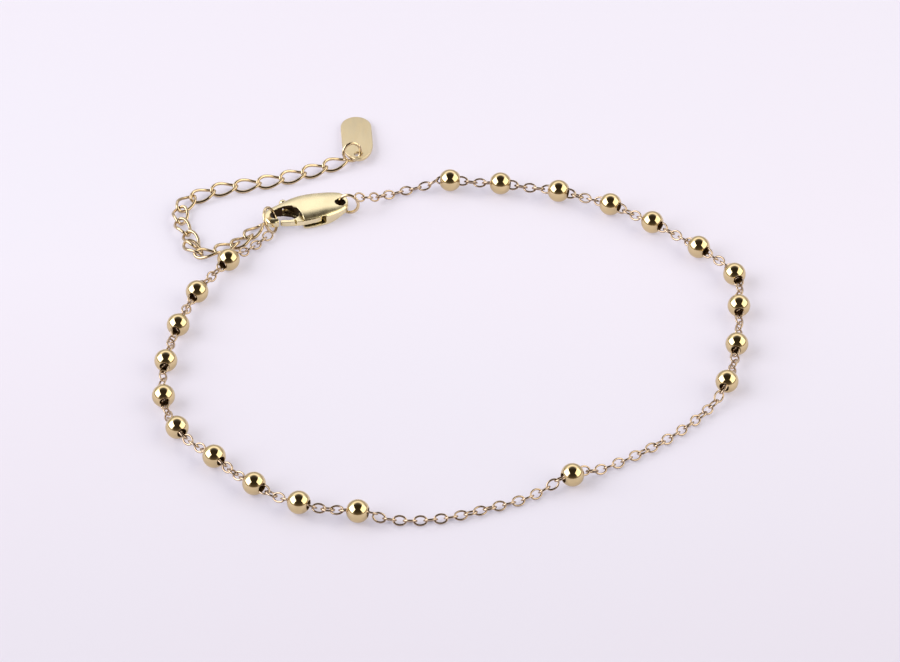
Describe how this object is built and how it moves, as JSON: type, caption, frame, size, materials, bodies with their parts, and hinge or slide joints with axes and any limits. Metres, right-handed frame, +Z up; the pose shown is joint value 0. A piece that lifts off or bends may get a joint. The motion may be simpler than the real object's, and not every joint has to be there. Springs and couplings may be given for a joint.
{
  "type": "charm anklet",
  "caption": "Fine cable-chain anklet with round beads, lobster clasp, and an extension chain ending in an oval drop tag.",
  "frame": {"origin": "middle of the anklet's outline, on the surface it lies on", "axes": "+Z up from the surface; +Y from the front of the loop towards the clasp and tag; +X to the right in the picture"},
  "size_m": [0.0774, 0.087, 0.0035],
  "materials": {
    "bead_gold": "mirror polished gold plating",
    "chain_gold": "polished pale gold plating",
    "clasp_gold": "polished gold plating",
    "ring_gold": "polished gold plating",
    "tag_gold": "satin gold plating"
  },
  "bodies": {
    "anklet": {"bead_01": "bead_gold", "bead_02": "bead_gold", "bead_03": "bead_gold", "bead_04": "bead_gold", "bead_05": "bead_gold", "bead_06": "bead_gold", "bead_07": "bead_gold", "bead_08": "bead_gold", "bead_09": "bead_gold", "bead_10": "bead_gold", "bead_11": "bead_gold", "bead_12": "bead_gold", "bead_13": "bead_gold", "bead_14": "bead_gold", "bead_15": "bead_gold", "bead_16": "bead_gold", "bead_17": "bead_gold", "bead_18": "bead_gold", "bead_19": "bead_gold", "bead_20": "bead_gold", "bead_21": "bead_gold", "chain_run_01_to_02": "chain_gold", "chain_run_02_to_03": "chain_gold", "chain_run_03_to_04": "chain_gold", "chain_run_04_to_05": "chain_gold", "chain_run_05_to_06": "chain_gold", "chain_run_06_to_07": "chain_gold", "chain_run_07_to_08": "chain_gold", "chain_run_08_to_09": "chain_gold", "chain_run_09_to_10": "chain_gold", "chain_run_10_to_11": "chain_gold", "chain_run_11_to_12": "chain_gold", "chain_run_12_to_13": "chain_gold", "chain_run_13_to_14": "chain_gold", "chain_run_14_to_15": "chain_gold", "chain_run_15_to_16": "chain_gold", "chain_run_16_to_17": "chain_gold", "chain_run_17_to_18": "chain_gold", "chain_run_18_to_19": "chain_gold", "chain_run_19_to_20": "chain_gold", "chain_run_20_to_21": "chain_gold", "chain_run_21_to_end": "chain_gold", "chain_run_clasp_to_01": "chain_gold", "clasp_body": "clasp_gold", "clasp_ring": "ring_gold", "drop_tag": "tag_gold", "end_ring": "ring_gold", "extension_chain": "chain_gold", "tag_ring": "ring_gold"},
    "clasp_lever": {"clasp_lever": "clasp_gold"}
  },
  "joints": [
    {"name": "lever_hinge", "type": "hinge", "parent": "anklet", "child": "clasp_lever", "pos_m": [-0.0198, 0.02024, 0.00105], "axis": [0, 0, -1], "range_deg": [0, 20], "stiffness_Nm_per_rad": 0.01}
  ]
}
